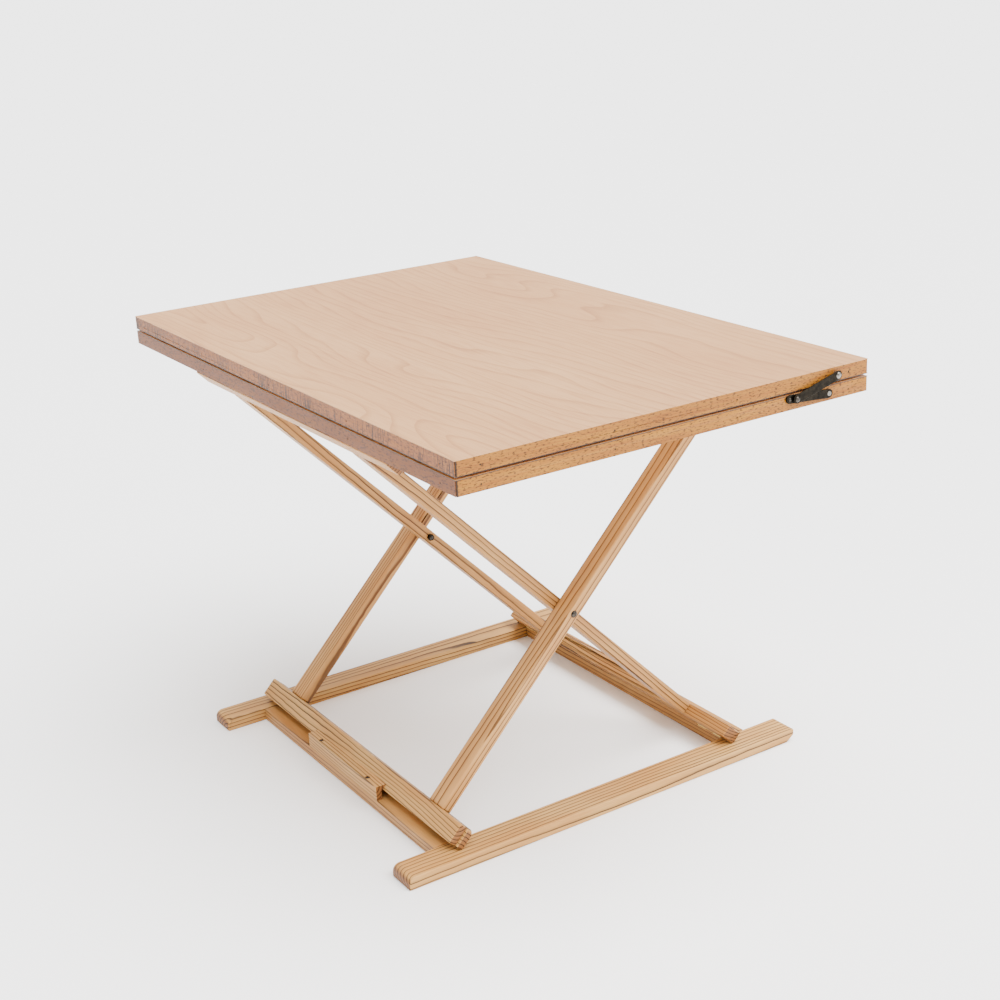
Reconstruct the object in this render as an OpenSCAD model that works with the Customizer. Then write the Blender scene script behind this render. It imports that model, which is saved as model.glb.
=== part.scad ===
// Flip-top folding table on a scissor base.
// X runs from the front of the base (keeper block) to the back (floor hinge), Y along the
// hinge edge of the top, Z up. The origin is on the floor under the middle of the table.

/* [Table top] */
// Width of the closed top, front to back
top_w = 600; // [560:5:620]
// Length of the top along its hinge edge
top_l = 900; // [800:10:960]
// How far the closed top sits towards the front
top_shift = 12; // [8:1:16]
// Thickness of one leaf
leaf_t = 19; // [18:0.5:21]
// Gap between the folded leaves
leaf_gap = 3; // [2.5:0.5:4]
// Width of the solid edging strips
edging_w = 10; // [9:0.5:12]
// Thickness of the decor laminate
laminate_t = 0.8; // [0.6:0.1:1.2]

/* [Base] */
// Length of each floor runner
runner_l = 640; // [620:5:680]
// Width of each floor runner
runner_w = 44; // [38:1:50]
// Height of the runners and crossbars
runner_h = 18; // [16:0.5:22]
// Distance over the outer faces of the runners
base_l = 586; // [560:2:620]
// Width of each crossbar
crossbar_w = 40; // [36:1:44]
// Inset of the front crossbar from the runner ends
front_inset = 62; // [58:1:64]

/* [Scissor frames] */
// Rest angle of the legs above the floor
leg_angle = 45.7; // [44:0.1:48]
// Length from the floor corner of a frame to the cross pivot
lower_reach = 332; // [325:1:340]
// Length from the cross pivot to the top corner of a frame
upper_reach = 408; // [400:1:415]
// Width of a leg along Y
leg_w = 32; // [28:1:36]
// Thickness of a leg in the plane of the scissor
leg_t = 18; // [16:0.5:20]
// Distance over the outer faces of the outer legs
legs_over = 436; // [420:2:450]
// Length of the frame rails along Y
rail_l = 544; // [530:2:560]
// Width of a plain rail along the leg
rail_w = 25; // [22:1:28]
// Width of the doubled front rail along the leg
front_rail_w = 28; // [26:1:32]

/* [Hardware] */
// Diameter of the two cross pivot bolts
pivot_d = 6; // [5:0.5:8]
// Length of each butt hinge
hinge_l = 50; // [40:1:60]
// Distance of each butt hinge's middle from the middle of the table
hinge_y = 222; // [200:1:222]
// Length of the lower side link between its pivots
lower_link = 55; // [54.5:0.5:55.5]
// Length of the upper side link between its pivots
upper_link = 69; // [68.5:0.5:69.5]
// Width of the side links
link_w = 11; // [9:0.5:12]
// Thickness of the side links
link_t = 2; // [1.5:0.1:2.2]

/* [Hidden] */
$fn = 48;

pine = "#dcb27a";
pale_pine = "#e3c9a8";
beech = "#d2a062";
decor = "#e9cdb8";
board = "#b8966a";
black_steel = "#3c352d";
bright_steel = "#b9b7b0";
brass = "#c9a84e";

// Clearance where one frame slides on another part
glide = 0.3;
// Radius of the rounded corner on which each rail turns
corner_r = 3;
// Height of the corner centre above the leg's centre line
corner_n = leg_t / 2 - corner_r;
// Radial clearance of a pin in its running hole
running = 0.05;
// Gap between the sides of neighbouring legs
leg_gap = 0.5;

// Places of the axes, with the frames mirrored about the cross pivot
corner_z = runner_h + corner_r + glide;
hinge_x = 223;
pivot_x = hinge_x - lower_reach * cos(leg_angle) + corner_n * sin(leg_angle);
pivot_z = corner_z + lower_reach * sin(leg_angle) + corner_n * cos(leg_angle);
top_corner_x = upper_reach * cos(leg_angle) - corner_n * sin(leg_angle);
top_corner_z = pivot_z + upper_reach * sin(leg_angle) + corner_n * cos(leg_angle);
leaf_z = top_corner_z + corner_r + glide;
upper_z = leaf_z + leaf_t + leaf_gap;

// Layout across the table
runner_y = base_l / 2 - runner_w;
outer_leg_y = legs_over / 2 - leg_w;
inner_leg_y = outer_leg_y - leg_gap - leg_w;
edge_x0 = -top_w / 2 - top_shift;
edge_x1 = top_w / 2 - top_shift;
front_bar_x = -runner_l / 2 + front_inset;
rear_bar_x = hinge_x - 0.5;

// Doubled front rail: backing, then the facing strip in front of it
backing_t = 10;
facing_t = 12;
backing_over = 4;

// Butt hinges
knuckle_r = 3.2;
hinge_pin_r = 1.2;
plate_t = 1.4;
inlay_t = 1.2;
plate_reach = 18;
inlay_reach = 15;
knuckle_clear = 3.5;
plate_start = 3.6;

// Keeper block on the front crossbar
keeper_l = 200;
keeper_h = 21;
keeper_gap = 0.5;
keeper_screw_y = 68;
keeper_screw_x = 4.8;

// Side links: pivots given from the hinge edge and the underside of the lower leaf
a1 = [-66, leaf_t / 2];
a2 = [-54, leaf_t + leaf_gap + leaf_t / 2 - 0.5];
link_gap = 0.5;
low_head_h = 0.8;
layer_gap = 1.4;
link_screw_r = 3;
rivet_r = 2.5;
stay_rivet_step = 9;

// The elbow of the two links, where their circles cross
function elbow(p, q, rp, rq) =
    let (d = norm(q - p), a = (rp * rp - rq * rq + d * d) / (2 * d),
        h = sqrt(rp * rp - a * a), u = (q - p) / d)
    p + a * u + h * [-u.y, u.x];
link_elbow = elbow(a1, a2, lower_link, upper_link);

// Slide guides under the lower leaf, with the pins of the rear frame in their grooves
guide_pin_r = 2.5;
guide_pin_out = 10;
guide_groove = 6.2;
guide_w = 16;
guide_h = 12;
guide_x0 = -290;
guide_l = 250;

// Nails along the edgings, as a fraction of the run between the end nails
nail_r = 1.1;
nail_l = 20;
nail_inset = 32;
nail_sink = 0.3;

// ---- frames of reference ----

// Leg frame of the front legs: X up along the leg, Z square to it, origin at the cross pivot
module on_front() translate([pivot_x, 0, pivot_z]) rotate([0, -leg_angle, 0]) children();

// Leg frame of the rear legs, the mirror image
module on_rear() translate([pivot_x, 0, pivot_z]) mirror([1, 0, 0]) rotate([0, -leg_angle, 0])
    children();

module both_sides() {
    children();
    mirror([0, 1, 0]) children();
}

// Lays a shape drawn in X and Z across the table, centred on Y
module across(length) rotate([90, 0, 0]) linear_extrude(height = length, center = true) children();

// A round bar along Y
module bar_y(r, y0, y1) translate([0, y1, 0]) rotate([90, 0, 0]) cylinder(r = r, h = y1 - y0);

// ---- base ----

module dowel_places() {
    for (x = [front_bar_x, rear_bar_x], k = [0.5, 0.85])
        both_sides() translate([x + k * crossbar_w, 0, runner_h / 2])
            bar_y(4, runner_y - 20, runner_y + 20);
}

module runner_outline() {
    nose = 10;
    bevel_l = 13;
    bevel_h = 9;
    difference() {
        translate([-runner_l / 2, 0]) square([runner_l, runner_h]);
        translate([-runner_l / 2 - 1, runner_h - nose]) square([nose + 1, nose + 1]);
        polygon([[runner_l / 2 - bevel_l, -1], [runner_l / 2 - bevel_l, 0],
            [runner_l / 2, bevel_h], [runner_l / 2 + 1, bevel_h], [runner_l / 2 + 1, -1]]);
    }
    translate([-runner_l / 2 + nose, runner_h - nose]) intersection() {
        circle(r = nose);
        translate([-nose, 0]) square(nose);
    }
}

module runner() {
    difference() {
        translate([0, runner_y + runner_w / 2, 0]) across(runner_w) runner_outline();
        dowel_places();
    }
}

module far_runner() color(pine) runner();
module near_runner() color(pine) mirror([0, 1, 0]) runner();

module crossbar(x) {
    difference() {
        translate([x, -runner_y, 0]) cube([crossbar_w, 2 * runner_y, runner_h]);
        dowel_places();
        children();
    }
}

module front_crossbar() color(pine) crossbar(front_bar_x) keeper_screw_places(2);
module rear_crossbar() color(pine) crossbar(rear_bar_x) {
    both_sides() translate([rear_bar_x - 1, hinge_y - hinge_l / 2 - 0.2, runner_h - plate_t + 0.5])
        cube([plate_reach + 2, hinge_l + 0.4, plate_t]);
    floor_screw_places();
}
module base_dowels() color(pale_pine) dowel_places();

// The block is flush with the crossbar's front and its lip leans over the facing strip
function facing_corner() =
    let (s = -lower_reach - corner_r, n = -leg_t / 2 + backing_t + facing_t)
    [pivot_x + s * cos(leg_angle) - n * sin(leg_angle),
        pivot_z + s * sin(leg_angle) + n * cos(leg_angle)];

module keeper_outline() {
    c = facing_corner();
    step = keeper_gap / sin(leg_angle);
    lip_z = runner_h + keeper_h;
    lip_x = c.x + (lip_z - c.y) / tan(leg_angle) - step;
    toe_z = c.y - 1;
    toe_x = c.x - 1 / tan(leg_angle) - step;
    polygon([[front_bar_x, runner_h], [toe_x, runner_h], [toe_x, toe_z], [lip_x, lip_z],
        [front_bar_x, lip_z]]);
}

module keeper_screw_places(extra) {
    for (y = [-1, 1]) translate([front_bar_x + keeper_screw_x, y * keeper_screw_y, 3])
        cylinder(r = 2, h = runner_h + keeper_h - 3 - extra);
}

module keeper_block() color(pine) difference() {
    across(keeper_l) keeper_outline();
    keeper_screw_places(-1);
    for (y = [-1, 1]) translate([front_bar_x + keeper_screw_x, y * keeper_screw_y, runner_h + keeper_h - 2])
        cylinder(r = 3.5, h = 3);
}

module keeper_screws() color(bright_steel) {
    keeper_screw_places(2);
    for (y = [-1, 1]) translate([front_bar_x + keeper_screw_x, y * keeper_screw_y, runner_h + keeper_h - 2])
        cylinder(r = 3.5, h = 1.5);
}

// ---- butt hinges: pin along Y through the origin, plate towards +X, below the pin ----

// Three knuckles: the outer two belong to the fixed plate, the middle one to the moving inlay
knuckle_l = hinge_l / 3;

module hinge_bore(r) bar_y(r, -hinge_l, hinge_l);

module screw_row(x, z, length, r) {
    for (y = [-1, 1]) translate([x, y * hinge_l * 0.3, z]) cylinder(r = r, h = length);
}

// Fixed plate: its face stands just proud of the wood it is let into
module fixed_plate() {
    z0 = -corner_r - glide + 0.5 - plate_t;
    difference() {
        union() {
            translate([plate_start, -hinge_l / 2, z0])
                cube([plate_reach - plate_start, hinge_l, plate_t]);
            for (side = [-1, 1]) translate([0, side * (hinge_l - knuckle_l) / 2, 0]) {
                translate([-1, -knuckle_l / 2, z0]) cube([plate_start + 2, knuckle_l, plate_t]);
                bar_y(knuckle_r, -knuckle_l / 2, knuckle_l / 2);
            }
        }
        hinge_bore(hinge_pin_r);
        screw_row(plate_reach * 0.62, z0 - 1, plate_t + 2, 1.6);
    }
}

// Moving inlay: let in flush with the face of the rail
module moving_inlay() {
    middle = knuckle_l - 0.6;
    difference() {
        union() {
            translate([plate_start, -hinge_l / 2, -corner_r])
                cube([inlay_reach - plate_start, hinge_l, inlay_t]);
            translate([-1, -middle / 2, -corner_r]) cube([plate_start + 2, middle, inlay_t]);
            bar_y(knuckle_r, -middle / 2, middle / 2);
        }
        hinge_bore(hinge_pin_r + running);
        screw_row(inlay_reach * 0.62, -corner_r - 1, inlay_t + 2, 1.6);
    }
}

// Room that a rail gives up for the knuckles and the inlay
module inlay_pocket() {
    bar_y(knuckle_clear, -hinge_l / 2 - 0.3, hinge_l / 2 + 0.3);
    translate([-corner_r - 1, -hinge_l / 2 - 0.2, -corner_r - 1])
        cube([inlay_reach + corner_r + 1.2, hinge_l + 0.4, inlay_t + 1]);
}

// Screws stand with their heads on the plate; depth is how far they go into the wood
module fixed_screws() {
    z = -corner_r - glide + 0.5;
    screw_row(plate_reach * 0.62, z - 13, 13, 1.6);
    screw_row(plate_reach * 0.62, z, 0.6, 2.8);
}
module inlay_screws() {
    screw_row(inlay_reach * 0.62, -corner_r, 13, 1.6);
    screw_row(inlay_reach * 0.62, -corner_r - 0.6, 0.6, 2.8);
}

// Places of the two hinges on each axis
module at_hinges() both_sides() translate([0, hinge_y, 0]) children();
module at_floor_hinge() at_hinges() translate([hinge_x, 0, corner_z]) children();
module at_top_hinge() at_hinges() translate([pivot_x + top_corner_x, 0, top_corner_z])
    rotate([0, 180, 0]) children();
// On the rear frame's lower end face, and on the front frame's upper face
module at_rear_inlay() at_hinges() on_rear() translate([-lower_reach, 0, -corner_n])
    mirror([0, 0, 1]) rotate([0, 90, 0]) children();
module at_front_inlay() at_hinges() on_front() translate([upper_reach, 0, corner_n])
    rotate([0, 180, 0]) children();

module floor_screw_places() at_floor_hinge() fixed_screws();

module floor_hinge_plates() color(brass) at_floor_hinge() fixed_plate();
module floor_hinge_pins() color(brass) at_floor_hinge() bar_y(hinge_pin_r, -hinge_l / 2, hinge_l / 2);
module floor_hinge_screws() color(brass) floor_screw_places();
module rear_hinge_plates() color(brass) at_rear_inlay() moving_inlay();
module rear_hinge_screws() color(brass) at_rear_inlay() inlay_screws();
module front_hinge_plates() color(brass) at_front_inlay() moving_inlay();
module front_hinge_screws() color(brass) at_front_inlay() inlay_screws();
module top_hinge_plates() color(brass) at_top_hinge() fixed_plate();
module top_hinge_pins() color(brass) at_top_hinge() bar_y(hinge_pin_r, -hinge_l / 2, hinge_l / 2);
module top_hinge_screws() color(brass) at_top_hinge() fixed_screws();

// ---- scissor frames, drawn in the leg frame ----

// Rail outline with one rounded corner, at the low back or at the high front
module low_rail_outline(w, t) {
    translate([-lower_reach - corner_r, -leg_t / 2]) {
        translate([corner_r, 0]) square([w - corner_r, t]);
        translate([0, corner_r]) square([corner_r, t - corner_r]);
        translate([corner_r, corner_r]) intersection() {
            circle(r = corner_r);
            translate([-corner_r, -corner_r]) square(corner_r);
        }
    }
}

module high_rail_outline(w) rotate(180)
    translate([lower_reach - upper_reach, 0]) low_rail_outline(w, leg_t);

module leg(y0, s0, s1) translate([s0, y0, -leg_t / 2]) cube([s1 - s0, leg_w, leg_t]);

// Dowels from a rail into the leg ends
module leg_dowels(y, s, n, r) for (k = [0.25, 0.75])
    translate([s - 11, y + k * leg_w, n]) rotate([0, 90, 0]) cylinder(r = r, h = 22);

rear_low_s = -lower_reach - corner_r + rail_w;
front_low_s = -lower_reach - corner_r + front_rail_w;
high_s = upper_reach + corner_r - rail_w;
backing_n = -leg_t / 2 + backing_t / 2;

module front_dowel_places() both_sides() {
    leg_dowels(outer_leg_y, front_low_s, backing_n, 3);
    leg_dowels(outer_leg_y, high_s, 0, 4);
}
module rear_dowel_places() both_sides() {
    leg_dowels(inner_leg_y, rear_low_s, 0, 4);
    leg_dowels(inner_leg_y, high_s, 0, 4);
}

module front_leg() on_front() difference() {
    leg(outer_leg_y, front_low_s, high_s);
    bar_y(pivot_d / 2, outer_leg_y - 1, outer_leg_y + leg_w + 1);
    front_dowel_places();
}
module rear_leg() on_rear() difference() {
    leg(inner_leg_y, rear_low_s, high_s);
    bar_y(pivot_d / 2 + running, inner_leg_y - 1, inner_leg_y + leg_w + 1);
    rear_dowel_places();
}

module front_leg_far() color(pale_pine) front_leg();
module front_leg_near() color(pale_pine) mirror([0, 1, 0]) front_leg();
module rear_leg_far() color(pine) rear_leg();
module rear_leg_near() color(pine) mirror([0, 1, 0]) rear_leg();

module rear_bottom_rail() color(pine) difference() {
    on_rear() difference() {
        across(rail_l) low_rail_outline(rail_w, leg_t);
        rear_dowel_places();
    }
    at_rear_inlay() {
        inlay_pocket();
        inlay_screws();
    }
}

module guide_pin_places() both_sides() translate([upper_reach, 0, corner_n])
    bar_y(guide_pin_r, rail_l / 2 - 20, rail_l / 2 + guide_pin_out);

module rear_top_rail() color(pale_pine) on_rear() difference() {
    across(rail_l) high_rail_outline(rail_w);
    rear_dowel_places();
    guide_pin_places();
}

module guide_pins() color(bright_steel) on_rear() guide_pin_places();
module rear_frame_dowels() color(pale_pine) on_rear() rear_dowel_places();
module front_frame_dowels() color(pale_pine) on_front() front_dowel_places();

module front_rail() color(pine) on_front()
    translate([-lower_reach - corner_r, -rail_l / 2, -leg_t / 2 + backing_t])
        cube([front_rail_w, rail_l, facing_t]);

// The backing runs past the facing strip and its ends are rounded
module front_rail_backing() color(pine) on_front() difference() {
    r = 8;
    half = rail_l / 2 + backing_over;
    across(2 * half) low_rail_outline(front_rail_w, backing_t);
    front_dowel_places();
    both_sides() translate([-lower_reach - corner_r + front_rail_w - r, half - r, -leg_t])
        difference() {
            cube([r + 1, r + 1, 2 * leg_t]);
            translate([0, 0, -1]) cylinder(r = r, h = 2 * leg_t + 2);
        }
}

module front_top_rail() color(pine) difference() {
    on_front() difference() {
        across(rail_l) high_rail_outline(rail_w);
        front_dowel_places();
    }
    at_front_inlay() {
        inlay_pocket();
        inlay_screws();
    }
}

// ---- cross pivots ----

pivot_head_r = 5;
pivot_head_h = 2.6;
nut_h = 5;
outer_face_y = outer_leg_y + leg_w;

module pivot_bolts() color(bright_steel) both_sides() translate([pivot_x, 0, pivot_z]) {
    bar_y(pivot_d / 2, inner_leg_y - glide - nut_h, outer_face_y);
    translate([0, outer_face_y, 0]) rotate([-90, 0, 0]) rotate_extrude()
        intersection() {
            square([pivot_head_r, pivot_head_h]);
            translate([0, -3.6]) circle(r = pivot_head_h + 3.6);
        }
}

module pivot_nuts() color(black_steel) both_sides() translate([pivot_x, 0, pivot_z]) difference() {
    translate([0, inner_leg_y - glide, 0]) rotate([90, 0, 0]) cylinder(r = 5, h = nut_h, $fn = 6);
    bar_y(pivot_d / 2, 0, outer_face_y);
}

// ---- leaves of the top ----

mitre_gap = 0.6;

// A mitred strip along +X, its outer side at y = 0 and its body towards +Y
module mitred_strip(length, z0) {
    g = mitre_gap * 0.5;
    translate([0, 0, z0]) linear_extrude(height = leaf_t - laminate_t - z0) polygon([[-length / 2 + g, 0], [length / 2 - g, 0],
        [length / 2 - g - edging_w, edging_w], [-length / 2 + g + edging_w, edging_w]]);
}

// Nails driven square through a strip of this length; count along it
module strip_nails(length, count) for (k = [0:count - 1])
    translate([-length / 2 + nail_inset + k * (length - 2 * nail_inset) / (count - 1), nail_sink,
        leaf_t * 0.42]) rotate([-90, 0, 0]) cylinder(r = nail_r, h = nail_l - nail_sink, $fn = 16);

// The holes run out through the face
module strip_nail_holes(length, count) for (k = [0:count - 1])
    translate([-length / 2 + nail_inset + k * (length - 2 * nail_inset) / (count - 1), -1,
        leaf_t * 0.42]) rotate([-90, 0, 0]) cylinder(r = nail_r, h = nail_l + 1, $fn = 16);

long_nails = 5;
short_nails = 4;

// The four sides of a leaf in its own frame, underside at z = 0
module on_front_edge() translate([edge_x0, 0, 0]) rotate([0, 0, -90]) children();
module on_back_edge() translate([edge_x1, 0, 0]) rotate([0, 0, 90]) children();
module on_near_edge() translate([(edge_x0 + edge_x1) / 2, -top_l / 2, 0]) children();
module on_far_edge() translate([(edge_x0 + edge_x1) / 2, top_l / 2, 0]) rotate([0, 0, 180])
    children();

module long_strip(z0) difference() {
    mitred_strip(top_l, z0);
    strip_nail_holes(top_l, long_nails);
}
module short_strip(z0) difference() {
    mitred_strip(top_w, z0);
    strip_nail_holes(top_w, short_nails);
}

module leaf_nail_holes() {
    on_front_edge() strip_nail_holes(top_l, long_nails);
    on_back_edge() strip_nail_holes(top_l, long_nails);
    on_near_edge() strip_nail_holes(top_w, short_nails);
    on_far_edge() strip_nail_holes(top_w, short_nails);
}

module leaf_nails() {
    on_front_edge() strip_nails(top_l, long_nails);
    on_back_edge() strip_nails(top_l, long_nails);
    on_near_edge() strip_nails(top_w, short_nails);
    on_far_edge() strip_nails(top_w, short_nails);
}

module leaf_slab(z0, z1) translate([edge_x0 + edging_w, -top_l / 2 + edging_w, z0])
    cube([top_w - 2 * edging_w, top_l - 2 * edging_w, z1 - z0]);

// The decor lies over core and edging alike
module decor_sheet(z0) translate([edge_x0, -top_l / 2, z0]) cube([top_w, top_l, laminate_t]);

module at_lower() translate([0, 0, leaf_z]) children();
module at_upper() translate([0, 0, upper_z]) children();

// Screws that carry the side links, from the middle of the edging outwards
module link_screw_places(p, r, reach) both_sides()
    translate([edge_x1 + p.x, 0, leaf_z + p.y]) bar_y(r, top_l / 2 - 18, top_l / 2 + reach);

link1_y = top_l / 2 + link_gap;
link2_y = link1_y + link_t + layer_gap;

module lower_core() color(board) difference() {
    at_lower() difference() {
        leaf_slab(0, leaf_t - laminate_t);
        leaf_nail_holes();
    }
    at_top_hinge() translate([-2, -hinge_l / 2 - 0.2, -corner_r - glide - plate_t + 0.5])
        cube([plate_reach + 2.4, hinge_l + 0.4, plate_t]);
    top_hinge_screws();
    link_screw_places(a1, link_screw_r, 0);
}
module lower_laminate() color(decor) at_lower() decor_sheet(leaf_t - laminate_t);
module lower_edging_front() color(beech) at_lower() on_front_edge() long_strip(0);
module lower_edging_back() color(beech) at_lower() on_back_edge() long_strip(0);
module lower_edging_near() color(beech) difference() {
    at_lower() on_near_edge() short_strip(0);
    link_screw_places(a1, link_screw_r, 1);
}
module lower_edging_far() color(beech) difference() {
    at_lower() on_far_edge() short_strip(0);
    link_screw_places(a1, link_screw_r, 1);
}
module lower_edging_nails() color(bright_steel) at_lower() leaf_nails();

module upper_core() color(board) difference() {
    at_upper() difference() {
        leaf_slab(laminate_t, leaf_t - laminate_t);
        leaf_nail_holes();
    }
    link_screw_places(a2, link_screw_r, 0);
}
module upper_laminate() color(decor) at_upper() decor_sheet(leaf_t - laminate_t);
module inner_laminate() color(decor) at_upper() decor_sheet(0);
module upper_edging_front() color(beech) at_upper() on_front_edge() long_strip(laminate_t);
module upper_edging_back() color(beech) at_upper() on_back_edge() long_strip(laminate_t);
module upper_edging_near() color(beech) difference() {
    at_upper() on_near_edge() short_strip(laminate_t);
    link_screw_places(a2, link_screw_r, 1);
}
module upper_edging_far() color(beech) difference() {
    at_upper() on_far_edge() short_strip(laminate_t);
    link_screw_places(a2, link_screw_r, 1);
}
module upper_edging_nails() color(bright_steel) at_upper() leaf_nails();

// Soft pads that the upper leaf lies on
module bumper_pads() color("#efe9df") for (x = [edge_x0 + 40, edge_x1 - 160]) both_sides()
    translate([x, top_l / 2 - 60, leaf_z + leaf_t]) cylinder(r = 6, h = leaf_gap - 0.1);

// Grooved strips under the lower leaf that keep the rear frame's top rail against it
module slide_guides() color(pale_pine) both_sides()
    translate([guide_x0, rail_l / 2 + 3, leaf_z]) rotate([90, 0, 90])
        linear_extrude(height = guide_l) polygon([[0, -guide_h], [guide_w, -guide_h],
            [guide_w, 0], [guide_pin_out - 1, 0], [guide_pin_out - 1, -guide_groove],
            [0, -guide_groove]]);

// ---- side links ----

// Flat link in X and Z from p through q and on by tail, in the layer that starts at y
module link_plate(p, q, y, tail, hole_p, hole_q) {
    d = q - p;
    reach = norm(d);
    translate([edge_x1 + p.x, y + link_t, leaf_z + p.y]) rotate([90, 0, 0]) rotate(atan2(d.y, d.x))
        difference() {
            linear_extrude(height = link_t) {
                circle(d = link_w);
                translate([0, -link_w / 2]) square([reach + tail, link_w]);
                translate([reach + tail, 0]) circle(d = link_w);
            }
            translate([0, 0, -1]) cylinder(r = hole_p, h = link_t + 2);
            translate([reach, 0, -1]) cylinder(r = hole_q, h = link_t + 2);
            if (tail > 0) translate([reach + tail, 0, -1]) cylinder(r = 1.5, h = link_t + 2);
        }
}

module domed_head(r, h) rotate([-90, 0, 0]) rotate_extrude() intersection() {
    square([r, h]);
    translate([0, h - r * 1.3]) circle(r = r * 1.3);
}

module lower_link() link_plate(a1, link_elbow, link1_y, stay_rivet_step,
    link_screw_r + running, rivet_r);
module upper_link() link_plate(a2, link_elbow, link2_y, 0,
    link_screw_r + running, rivet_r + running);

module lower_link_far() color(black_steel) lower_link();
module lower_link_near() color(black_steel) mirror([0, 1, 0]) lower_link();
module upper_link_far() color(black_steel) upper_link();
module upper_link_near() color(black_steel) mirror([0, 1, 0]) upper_link();

module at_link_point(p) both_sides() translate([edge_x1 + p.x, 0, leaf_z + p.y]) children();

// The stay rivet sits past the elbow, at the free end of the lower link; its head stays low
stay_point = link_elbow + stay_rivet_step * (link_elbow - a1) / norm(link_elbow - a1);

module stay_rivets() color(bright_steel) at_link_point(stay_point) {
    bar_y(1.5, link1_y, link1_y + link_t);
    translate([0, link1_y + link_t, 0]) domed_head(2.8, low_head_h);
}

module link_rivets() color(bright_steel) at_link_point(link_elbow) {
    bar_y(rivet_r, link1_y, link2_y + link_t + 0.3);
    translate([0, link2_y + link_t + 0.3, 0]) domed_head(3.6, 1.8);
}

module lower_link_screws() color(bright_steel) {
    link_screw_places(a1, link_screw_r, link_gap + link_t + 0.2);
    at_link_point(a1) translate([0, link1_y + link_t + 0.2, 0]) domed_head(4.2, low_head_h);
}

// The upper screws carry a collar that spaces the outer link from the leaf
module upper_link_screws() color(bright_steel) {
    link_screw_places(a2, link_screw_r, link2_y + link_t + 0.3 - top_l / 2);
    at_link_point(a2) {
        bar_y(4.5, top_l / 2, link2_y - 0.3);
        translate([0, link2_y + link_t + 0.3, 0]) domed_head(4.2, 1.8);
    }
}

near_runner();
far_runner();
front_crossbar();
rear_crossbar();
base_dowels();
keeper_block();
keeper_screws();
floor_hinge_plates();
floor_hinge_pins();
floor_hinge_screws();
rear_leg_near();
rear_leg_far();
rear_bottom_rail();
rear_top_rail();
rear_frame_dowels();
rear_hinge_plates();
rear_hinge_screws();
guide_pins();
front_leg_near();
front_leg_far();
front_rail();
front_rail_backing();
front_top_rail();
front_frame_dowels();
pivot_bolts();
pivot_nuts();
front_hinge_plates();
front_hinge_screws();
lower_core();
lower_laminate();
lower_edging_front();
lower_edging_back();
lower_edging_near();
lower_edging_far();
lower_edging_nails();
slide_guides();
top_hinge_plates();
top_hinge_pins();
top_hinge_screws();
bumper_pads();
lower_link_screws();
lower_link_near();
lower_link_far();
link_rivets();
upper_link_near();
upper_link_far();
stay_rivets();
upper_core();
upper_laminate();
inner_laminate();
upper_edging_front();
upper_edging_back();
upper_edging_near();
upper_edging_far();
upper_edging_nails();
upper_link_screws();
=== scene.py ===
"""Flip-top folding table on a scissor base: finishes, eased edges, light and camera."""
import math

import bmesh
import bpy
from mathutils import Euler, Matrix, Vector


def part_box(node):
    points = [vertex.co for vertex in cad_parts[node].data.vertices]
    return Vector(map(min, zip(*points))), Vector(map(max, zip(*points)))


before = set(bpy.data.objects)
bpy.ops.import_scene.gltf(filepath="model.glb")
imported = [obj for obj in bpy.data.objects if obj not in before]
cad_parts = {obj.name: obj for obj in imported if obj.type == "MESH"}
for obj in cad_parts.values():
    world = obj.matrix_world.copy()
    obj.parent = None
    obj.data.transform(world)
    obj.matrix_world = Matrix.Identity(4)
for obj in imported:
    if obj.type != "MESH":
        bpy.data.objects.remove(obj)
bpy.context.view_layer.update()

MM = 0.001
# Slope of the legs above the floor, degrees
LEG_ANGLE = 45.7
# A wave texture of scale s repeats every WAVE_SPAN / s metres
WAVE_SPAN = 0.314

# Turns that lay a board's length on the vertical axis of its wood figure
ALONG_X = (0, -90, 0)
ALONG_Y = (90, 0, 0)
ALONG_FRONT_LEG = (0, LEG_ANGLE - 90, 0)
ALONG_REAR_LEG = (0, 90 - LEG_ANGLE, 0)


# ---- colours and nodes ----

def linear(hex_colour):
    """An sRGB hex colour as linear red, green, blue and alpha."""
    parts = [int(hex_colour[i:i + 2], 16) / 255 for i in (1, 3, 5)]
    return [c / 12.92 if c <= 0.04045 else ((c + 0.055) / 1.055) ** 2.4 for c in parts] + [1.0]


def add(tree, kind, inputs=None, stops=None, **settings):
    """Adds one node. An input is a number, a colour or the socket that feeds it."""
    new = tree.nodes.new("ShaderNode" + kind)
    for key, value in settings.items():
        setattr(new, key, value)
    for key, value in (inputs or {}).items():
        if isinstance(value, bpy.types.NodeSocket):
            tree.links.new(value, new.inputs[key])
        else:
            new.inputs[key].default_value = value
    if stops:
        ramp = new.color_ramp
        while len(ramp.elements) < len(stops):
            ramp.elements.new(0.5)
        for element, (place, colour) in zip(ramp.elements, stops):
            element.position = place
            element.color = linear(colour) if isinstance(colour, str) else [colour] * 3 + [1]
    return new


def new_material(name):
    material = bpy.data.materials.new(name)
    material.use_nodes = True
    tree = material.node_tree
    tree.nodes.clear()
    output = add(tree, "OutputMaterial")
    shader = add(tree, "BsdfPrincipled")
    tree.links.new(shader.outputs[0], output.inputs[0])
    return material, tree, shader


def stretched(tree, point, per_metre):
    """The point with each axis counted in pattern cells, so cells per metre along x, y, z."""
    return add(tree, "VectorMath", {0: point, 1: per_metre}, operation="MULTIPLY").outputs[0]


def noise(tree, point, per_metre, detail=2.0, rough=0.5):
    return add(tree, "TexNoise", {"Vector": stretched(tree, point, per_metre), "Scale": 1.0,
                                  "Detail": detail, "Roughness": rough}).outputs[0]


def ramp(tree, factor, stops):
    return add(tree, "ValToRGB", {"Fac": factor}, stops=stops).outputs[0]


def mixed(tree, how, amount, first, second):
    return add(tree, "Mix", {0: amount, 6: first, 7: second}, data_type="RGBA",
               blend_type=how).outputs[2]


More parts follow.
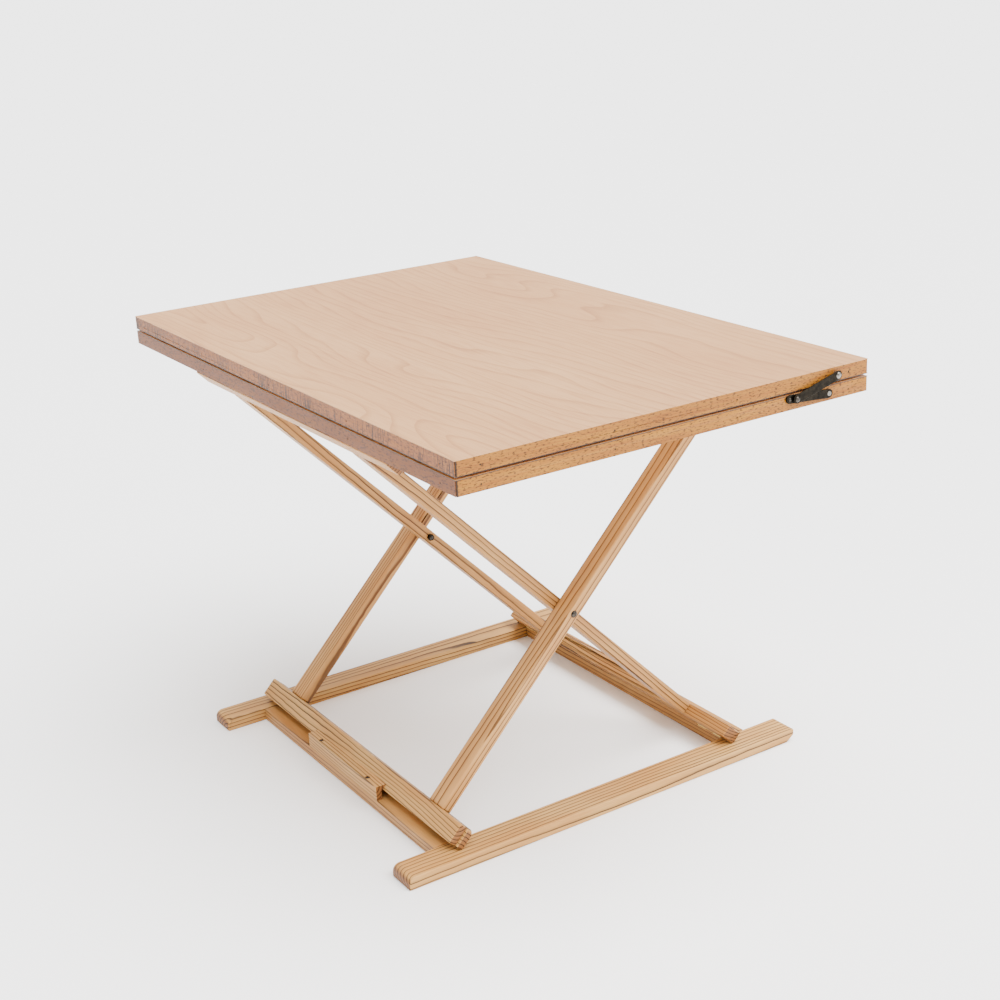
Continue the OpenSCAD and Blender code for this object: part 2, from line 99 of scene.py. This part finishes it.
def maths(tree, how, first, second=0.5, third=0.5):
    return add(tree, "Math", {0: first, 1: second, 2: third}, operation=how).outputs[0]


def bump(tree, shader, height, depth, strength):
    raised = add(tree, "Bump", {"Height": height, "Distance": depth, "Strength": strength})
    tree.links.new(raised.outputs[0], shader.inputs["Normal"])


# ---- finishes ----

def board_point(tree, part, turn, pith):
    """The place in a board, with its length upright and the pith of the tree on the axis."""
    low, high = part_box(part)
    middle = (Vector(low) + Vector(high)) / 2
    angles = [math.radians(a) for a in turn]
    shift = Vector(pith) * MM - Euler(angles).to_matrix() @ middle
    place = add(tree, "TexCoord").outputs["Object"]
    return add(tree, "Mapping", {"Vector": place, "Location": shift, "Rotation": angles}).outputs[0]


def end_grain(tree, turn):
    """1 where a board is cut across its length, 0 along its sides."""
    angles = [math.radians(a) for a in turn]
    upright = Euler(angles).to_matrix().inverted() @ Vector((0, 0, 1))
    facing = add(tree, "VectorMath", {0: add(tree, "TexCoord").outputs["Normal"],
                                      1: upright}, operation="DOT_PRODUCT").outputs["Value"]
    return add(tree, "MapRange", {"Value": maths(tree, "ABSOLUTE", facing), "From Min": 0.6,
                                  "From Max": 0.9}).outputs[0]


def lacquered_pine(name, part, turn, pith, early="#b79974", late="#996c41", ring=3.6, wander=5.0):
    """Plantation pine, planed and given a thin satin lacquer. Pale spring wood turns slowly to
    honey-brown summer wood and stops sharply at each year's edge; the cut ends are darker."""
    material, tree, shader = new_material(name)
    point = board_point(tree, part, turn, pith)
    # The tree's slow bends, 70 mm across the board and 600 mm along it
    bend = add(tree, "TexNoise", {"Vector": stretched(tree, point, (14, 14, 1.7)), "Scale": 1.0,
                                  "Detail": 1.5}).outputs["Color"]
    offset = add(tree, "VectorMath", {0: bend, 1: (0.5, 0.5, 0.5)}, operation="SUBTRACT").outputs[0]
    # Noise strays about a quarter each way, so four times it gives the wander asked for
    offset = add(tree, "VectorMath", {0: offset, "Scale": wander * 4 * MM},
                 operation="SCALE").outputs[0]
    grown = add(tree, "VectorMath", {0: point, 1: offset}).outputs[0]
    rings = add(tree, "TexWave", {"Vector": grown, "Scale": WAVE_SPAN / (ring * MM),
                                  "Distortion": 0.9, "Detail": 2.0, "Detail Scale": 0.5,
                                  "Detail Roughness": 0.5},
                wave_type="RINGS", rings_direction="Z", wave_profile="SAW").outputs["Fac"]
    summer = ramp(tree, rings, [(0.0, 0.0), (0.5, 0.06), (0.74, 0.32), (0.83, 1.0), (0.96, 1.0),
                                (1.0, 0.0)])
    # Years are not equally dark
    years = noise(tree, point, (55, 55, 2.5), 1.0)
    strength = add(tree, "MapRange", {"Value": years, "From Min": 0.3, "From Max": 0.7,
                                      "To Min": 0.72, "To Max": 1.0}).outputs[0]
    ends = end_grain(tree, turn)
    shown = maths(tree, "MULTIPLY", summer, maths(tree, "MAXIMUM", strength, ends))
    colour = mixed(tree, "MIX", shown, linear(early), linear(late))
    # Broad patches of warmer sapwood, 120 mm long
    patch = ramp(tree, noise(tree, point, (30, 30, 8)), [(0.3, "#fffaf3"), (0.7, "#f0dcc4")])
    colour = mixed(tree, "MULTIPLY", 1.0, colour, patch)
    # Fibres 1 mm wide and 40 mm long, coarser than real ones so that they show
    fibre = noise(tree, point, (1100, 1100, 26), 3.0, 0.6)
    colour = mixed(tree, "MULTIPLY", 0.8, colour, ramp(tree, fibre, [(0.3, "#ecdcc9"),
                                                                     (0.62, "#ffffff")]))
    cut_end = mixed(tree, "MIX", summer, linear("#83552c"), linear("#1c0b02"))
    colour = mixed(tree, "MIX", ends, colour, cut_end)
    tree.links.new(colour, shader.inputs["Base Color"])
    tree.links.new(add(tree, "MapRange", {"Value": fibre, "To Min": 0.36, "To Max": 0.56}
                       ).outputs[0], shader.inputs["Roughness"])
    shader.inputs["Specular IOR Level"].default_value = 0.25
    height = maths(tree, "ADD", maths(tree, "MULTIPLY", shown, 0.5), fibre)
    bump(tree, shader, height, 0.15 * MM, 0.35)
    return material


def beech_edging(name, along_x, base, fleck, streaks=0.0, pale="#d3a877", dark_corner_from=None):
    """Steamed beech strip, planed and lacquered. Its mark is a dense scatter of short dark
    rays along the grain; a saw-marked strip also has dark scratches across it."""
    material, tree, shader = new_material(name)
    point = add(tree, "TexCoord").outputs["Object"]
    long_cells, cross_cells = 200, 620
    cells = (long_cells, cross_cells, cross_cells) if along_x else (cross_cells, long_cells,
                                                                    cross_cells)
    # Rays 1.5 mm by 5 mm, coarser than the real 0.4 mm by 2 mm so that they show
    rays = noise(tree, point, cells, 1.0)
    dark = add(tree, "MapRange", {"Value": rays, "From Min": 0.55, "From Max": 0.64}).outputs[0]
    slow = (7, 60, 60) if along_x else (60, 7, 60)
    body = ramp(tree, noise(tree, point, slow, 3.0), [(0.32, base), (0.68, pale)])
    lines = (14, 500, 500) if along_x else (500, 14, 500)
    grain = noise(tree, point, lines, 3.0)
    body = mixed(tree, "MULTIPLY", 0.9, body, ramp(tree, grain, [(0.35, "#e4cfb6"),
                                                                 (0.6, "#ffffff")]))
    colour = mixed(tree, "MIX", maths(tree, "MULTIPLY", dark, 0.75), body, linear(fleck))
    if streaks:
        # Saw marks across the strip, about 4 mm apart in patches 60 mm long
        across = (420, 420, 30)
        marks = noise(tree, point, across, 2.0)
        where = noise(tree, point, (16, 16, 4), 1.0)
        there = maths(tree, "ADD", marks, maths(tree, "MULTIPLY_ADD", where, 0.34, -0.17))
        mark = add(tree, "MapRange", {"Value": there, "From Min": 0.5, "From Max": 0.62}
                   ).outputs[0]
        colour = mixed(tree, "MIX", maths(tree, "MULTIPLY", mark, streaks), colour,
                       linear("#3d2212"))
    if dark_corner_from is not None:
        # The strip is darkened to near black over its last 3 to 4 mm at the front corner, with a
        # ragged inner edge
        place = add(tree, "SeparateXYZ", {0: point}).outputs[0]
        dark_corner = add(tree, "MapRange", {"Value": maths(tree, "MULTIPLY_ADD", grain, 0.002, place),
                                       "From Min": dark_corner_from + 4 * MM,
                                       "From Max": dark_corner_from + 3 * MM}).outputs[0]
        colour = mixed(tree, "MIX", maths(tree, "MULTIPLY", dark_corner, 0.92), colour,
                       linear("#1d110b"))
    tree.links.new(colour, shader.inputs["Base Color"])
    shader.inputs["Specular IOR Level"].default_value = 0.25
    tree.links.new(add(tree, "MapRange", {"Value": grain, "To Min": 0.4, "To Max": 0.6}
                       ).outputs[0], shader.inputs["Roughness"])
    bump(tree, shader, maths(tree, "SUBTRACT", grain, dark), 0.1 * MM, 0.3)
    return material


def decor_laminate(name, dark_core_and_gap_shade):
    """Melamine laminate printed as pale maple: faint arched grain lines along the top's length,
    very fine pores and a soft even sheen."""
    material, tree, shader = new_material(name)
    point = add(tree, "TexCoord").outputs["Object"]
    point = add(tree, "Mapping", {"Vector": point, "Rotation": (math.radians(90), 0, 0),
                                  "Location": (0.12, 0.5, 0)}).outputs[0]
    bend = add(tree, "TexNoise", {"Vector": stretched(tree, point, (5, 5, 1.1)), "Scale": 1.0,
                                  "Detail": 2.0}).outputs["Color"]
    offset = add(tree, "VectorMath", {0: bend, "Scale": 0.3}, operation="SCALE").outputs[0]
    grown = add(tree, "VectorMath", {0: point, 1: offset}).outputs[0]
    # Printed years 17 mm apart, as on a veneer cut flat from a wide log
    lines = add(tree, "TexWave", {"Vector": grown, "Scale": WAVE_SPAN / (17 * MM),
                                  "Distortion": 1.2, "Detail": 3.0, "Detail Scale": 0.6},
                wave_type="RINGS", rings_direction="Z", wave_profile="SAW").outputs["Fac"]
    year = ramp(tree, lines, [(0.0, 0.0), (0.7, 0.1), (0.9, 0.7), (0.96, 1.0), (1.0, 0.0)])
    pores = noise(tree, point, (620, 620, 16), 3.0)
    cloud = ramp(tree, noise(tree, point, (9, 9, 2.2), 2.0), [(0.3, "#fffaf5"), (0.7, "#f4e5d8")])
    colour = mixed(tree, "MIX", maths(tree, "MULTIPLY", year, 0.5), linear("#bd9161"),
                   linear("#93602c"))
    colour = mixed(tree, "MULTIPLY", 1.0, colour, cloud)
    colour = mixed(tree, "MULTIPLY", 0.45, colour, ramp(tree, pores, [(0.36, "#dcc0a6"),
                                                                     (0.52, "#ffffff")]))
    if dark_core_and_gap_shade:
        # The paper core shows dark along the cut edge; here it is painted near black, deeper than
        # the core's own brown, as painted shade in the gap between the leaves
        upward = add(tree, "SeparateXYZ", {0: add(tree, "TexCoord").outputs["Normal"]}).outputs[2]
        cut = maths(tree, "LESS_THAN", maths(tree, "ABSOLUTE", upward), 0.7)
        colour = mixed(tree, "MIX", cut, colour, linear("#0c0603"))
    tree.links.new(colour, shader.inputs["Base Color"])
    tree.links.new(add(tree, "MapRange", {"Value": pores, "To Min": 0.4, "To Max": 0.52}
                       ).outputs[0], shader.inputs["Roughness"])
    bump(tree, shader, pores, 0.04 * MM, 0.3)
    return material


def veneered_board(name):
    """Raw plywood core seen from below: dry, pale, with long soft grain."""
    material, tree, shader = new_material(name)
    point = add(tree, "TexCoord").outputs["Object"]
    grain = noise(tree, point, (160, 5, 160), 4.0, 0.6)
    fine = noise(tree, point, (1200, 40, 1200), 2.0)
    colour = ramp(tree, grain, [(0.3, "#b58f66"), (0.5, "#c8a57b"), (0.72, "#d6b990")])
    colour = mixed(tree, "MULTIPLY", 0.8, colour, ramp(tree, fine, [(0.35, "#dcc7ad"),
                                                                    (0.6, "#ffffff")]))
    tree.links.new(colour, shader.inputs["Base Color"])
    tree.links.new(add(tree, "MapRange", {"Value": fine, "To Min": 0.62, "To Max": 0.8}
                       ).outputs[0], shader.inputs["Roughness"])
    bump(tree, shader, maths(tree, "ADD", grain, fine), 0.2 * MM, 0.4)
    return material


def worn_metal(name, dark, light, rough, scratch=0.5):
    """Stamped metal that has been handled: cloudy tone, fine scratches and uneven polish."""
    material, tree, shader = new_material(name)
    point = add(tree, "TexCoord").outputs["Object"]
    cloud = noise(tree, point, (180, 180, 180), 3.0)
    lines = noise(tree, point, (300, 2500, 2500), 2.0)
    colour = ramp(tree, cloud, [(0.3, dark), (0.7, light)])
    colour = mixed(tree, "MULTIPLY", scratch, colour, ramp(tree, lines, [(0.35, "#b9b4ab"),
                                                                         (0.55, "#ffffff")]))
    tree.links.new(colour, shader.inputs["Base Color"])
    shader.inputs["Metallic"].default_value = 1.0
    tree.links.new(add(tree, "MapRange", {"Value": maths(tree, "MULTIPLY", cloud, lines),
                                          "From Max": 0.5, "To Min": rough - 0.08,
                                          "To Max": rough + 0.12}).outputs[0],
                   shader.inputs["Roughness"])
    bump(tree, shader, lines, 0.03 * MM, 0.25)
    return material


def felt_pad(name):
    """Pressed wool felt dot: matt, with short fibres standing in every direction."""
    material, tree, shader = new_material(name)
    point = add(tree, "TexCoord").outputs["Object"]
    fibres = noise(tree, point, (900, 900, 900), 4.0, 0.7)
    colour = ramp(tree, fibres, [(0.3, "#c9c1b1"), (0.65, "#eee8db")])
    tree.links.new(colour, shader.inputs["Base Color"])
    tree.links.new(add(tree, "MapRange", {"Value": fibres, "To Min": 0.8, "To Max": 0.98}
                       ).outputs[0], shader.inputs["Roughness"])
    bump(tree, shader, fibres, 0.4 * MM, 0.6)
    return material


def finish(part, material):
    """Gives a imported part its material."""
    for piece_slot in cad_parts[part].material_slots:
        piece_slot.material = material


def ease_edges(part, radius, flatten=True):
    """Sands a part's arrises to a small radius, after joining its loose facets."""
    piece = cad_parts[part]
    weld = piece.modifiers.new("join facets", "WELD")
    weld.merge_threshold = 0.00002
    if flatten:
        flat = piece.modifiers.new("flat faces", "DECIMATE")
        flat.decimate_type = "DISSOLVE"
        flat.angle_limit = math.radians(0.6)
    eased = piece.modifiers.new("sanded arris", "BEVEL")
    eased.width = radius * MM
    eased.segments = 3
    eased.limit_method = "ANGLE"
    eased.angle_limit = math.radians(40)
    eased.use_clamp_overlap = False
    eased.harden_normals = True


# Colours of a board: spring wood, then summer wood
PALE = ("#c59a62", "#553311")
HONEY = ("#c39c61", "#2c1603")
MILD = ("#b88d55", "#351b05")
# Each pine board: direction, pith in mm from its middle, arris radius in mm, colours, width of
# one year in mm, and how far the rings wander in mm
PINE_BOARDS = {
    "near_runner": (ALONG_X, (14, 34, 0), 2.0, HONEY, 6.4, 5),
    "far_runner": (ALONG_X, (-30, 26, 0), 2.0, HONEY, 6.0, 5),
    "front_crossbar": (ALONG_Y, (8, 60, 0), 1.5, MILD, 5.4, 6),
    "rear_crossbar": (ALONG_Y, (20, -38, 0), 1.5, MILD, 6.0, 8),
    "keeper_block": (ALONG_Y, (26, 18, 0), 0.5, HONEY, 4.6, 7),
    "rear_leg_near": (ALONG_REAR_LEG, (44, 30, 0), 2.2, MILD, 6.4, 8),
    "rear_leg_far": (ALONG_REAR_LEG, (-36, 42, 0), 2.2, MILD, 6.0, 8),
    "rear_bottom_rail": (ALONG_Y, (-22, 28, 0), 1.6, MILD, 4.4, 7),
    "rear_top_rail": (ALONG_Y, (30, 30, 0), 1.6, PALE, 3.8, 6),
    "front_leg_near": (ALONG_FRONT_LEG, (60, 46, 0), 2.2, PALE, 6.6, 8),
    "front_leg_far": (ALONG_FRONT_LEG, (48, -58, 0), 2.2, PALE, 6.4, 9),
    "front_rail": (ALONG_Y, (-6, 30, 0), 2.0, HONEY, 5.0, 11),
    "front_rail_backing": (ALONG_Y, (18, -24, 0), 1.2, HONEY, 4.6, 7),
    "front_top_rail": (ALONG_Y, (-24, -30, 0), 1.6, MILD, 3.8, 6),
    "slide_guides": (ALONG_X, (12, 26, 0), 0.8, PALE, 3.6, 4),
}


# Let-in or drilled boards, whose faces would tear if their facets were joined
NOTCHED = ("keeper_block", "rear_crossbar", "rear_bottom_rail", "front_top_rail")


def finish_base_and_frames():
    for part, (turn, pith, radius, colours, ring, wander) in PINE_BOARDS.items():
        finish(part, lacquered_pine("lacquered pine " + part.replace("_", " "), part, turn, pith,
                                    *colours, ring=ring, wander=wander))
        ease_edges(part, radius, flatten=part not in NOTCHED)
    dowel = lacquered_pine("turned dowel", "base_dowels", ALONG_Y, (3, 3, 0), ring=1.5)
    for part in ("base_dowels", "rear_frame_dowels", "front_frame_dowels"):
        finish(part, dowel)


def finish_leaves():
    finish("upper_laminate", decor_laminate("maple decor laminate", False))
    # Only the laminates facing the gap between the leaves get the near-black edge, which is partly
    # the dark core and partly painted shade
    inside = decor_laminate("maple decor laminate, dark edged", True)
    for part in ("lower_laminate", "inner_laminate"):
        finish(part, inside)
    board = veneered_board("raw plywood core")
    finish("lower_core", board)
    finish("upper_core", board)
    side = beech_edging("beech edging, golden", True, "#8a5515", "#2b1304", pale="#9c6818",
                        dark_corner_from=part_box("upper_edging_near")[0][0])
    front = beech_edging("beech edging, saw marked", False, "#8b5120", "#43210b", 0.95, "#985e29")
    plain = beech_edging("beech edging, rosy", False, "#6c3a0f", "#2f1608", 0.0, "#7a4716")
    for leaf in ("lower", "upper"):
        for edge in ("front", "back", "near", "far"):
            strip = f"{leaf}_edging_{edge}"
            if edge in ("near", "far"):
                finish(strip, side)
            else:
                finish(strip, front if strip == "upper_edging_front" else plain)
            ease_edges(strip, 0.6)


SIDE_LINKS = ("lower_link_near", "lower_link_far", "upper_link_near", "upper_link_far")


def finish_fittings():
    brass = worn_metal("stamped brass", "#e6c566", "#fbeaa8", 0.5, 0.2)
    bright = worn_metal("nickel-plated steel", "#5f5b54", "#a09c93", 0.3, 0.3)
    links = worn_metal("blackened steel", "#14110d", "#2c271f", 0.42, 0.7)
    nails = worn_metal("oxidised nail steel", "#2f2722", "#4a3f36", 0.5, 0.5)
    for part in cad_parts:
        if "hinge" in part:
            finish(part, brass)
    for part in SIDE_LINKS:
        finish(part, links)
        ease_edges(part, 0.35)
    finish("pivot_nuts", links)
    for part in ("lower_edging_nails", "upper_edging_nails", "keeper_screws"):
        finish(part, nails)
    for part in ("guide_pins", "lower_link_screws", "upper_link_screws"):
        finish(part, bright)
    heads = worn_metal("zinc-plated bolt steel", "#1d1a17", "#57514a", 0.3, 0.4)
    for part in ("pivot_bolts", "link_rivets", "stay_rivets"):
        finish(part, heads)
    finish("bumper_pads", felt_pad("wool felt"))


# ---- studio ----

def make_floor():
    floor = bpy.data.meshes.new("studio floor")
    sheet = bmesh.new()
    bmesh.ops.create_grid(sheet, x_segments=1, y_segments=1, size=120)
    sheet.to_mesh(floor)
    sheet.free()
    place = bpy.data.objects.new("studio_floor", floor)
    bpy.context.scene.collection.objects.link(place)
    material, tree, shader = new_material("matt white floor")
    shader.inputs["Base Color"].default_value = linear("#fafafa")
    shader.inputs["Roughness"].default_value = 0.9
    floor.materials.append(material)


def make_softbox(name, place, target, size, power):
    light = bpy.data.lights.new(name, "AREA")
    light.shape = "RECTANGLE"
    light.size, light.size_y = size
    light.energy = power
    box = bpy.data.objects.new(name, light)
    box.location = place
    box.rotation_euler = (Vector(target) - Vector(place)).to_track_quat("-Z", "Y").to_euler()
    bpy.context.scene.collection.objects.link(box)


def make_skylight(name, towards, strength):
    """A wide even light from above, as through a stretched silk over the whole floor."""
    light = bpy.data.lights.new(name, "SUN")
    light.energy = strength
    light.angle = math.radians(62)
    sky = bpy.data.objects.new(name, light)
    sky.rotation_euler = Vector(towards).to_track_quat("Z", "Y").to_euler()
    bpy.context.scene.collection.objects.link(sky)


def make_light():
    world = bpy.data.worlds.new("studio")
    bpy.context.scene.world = world
    world.use_nodes = True
    backdrop = world.node_tree.nodes["Background"]
    backdrop.inputs["Color"].default_value = linear("#ffffff")
    backdrop.inputs["Strength"].default_value = 1.4
    make_skylight("overhead diffuser", (0.35, -0.5, 1.6), 9.0)
    make_softbox("key softbox", (1.6, -3.0, 2.0), (0, 0, 0.35), (1.8, 1.8), 60)


def make_camera():
    """Stands left of the table's near corner, a little above the top, with a slight roll."""
    yaw, pitch, roll = (math.radians(a) for a in (32.25, 19.7, -2.93))
    ahead = Vector((math.sin(yaw) * math.cos(pitch), math.cos(yaw) * math.cos(pitch),
                    -math.sin(pitch)))
    right = ahead.cross(Vector((0, 0, 1))).normalized()
    up = right.cross(ahead)
    across = right * math.cos(roll) + up * math.sin(roll)
    upright = up * math.cos(roll) - right * math.sin(roll)
    lens = bpy.data.cameras.new("camera")
    lens.lens = 59.77
    lens.sensor_width = 36
    lens.clip_end = 400
    camera = bpy.data.objects.new("camera", lens)
    camera.matrix_world = Matrix.Translation((-1.1569, -1.8753, 1.1507)) @ Matrix(
        (across, upright, -ahead)).transposed().to_4x4()
    bpy.context.scene.collection.objects.link(camera)
    bpy.context.scene.camera = camera


make_camera()
make_floor()
make_light()
finish_base_and_frames()
finish_leaves()
finish_fittings()
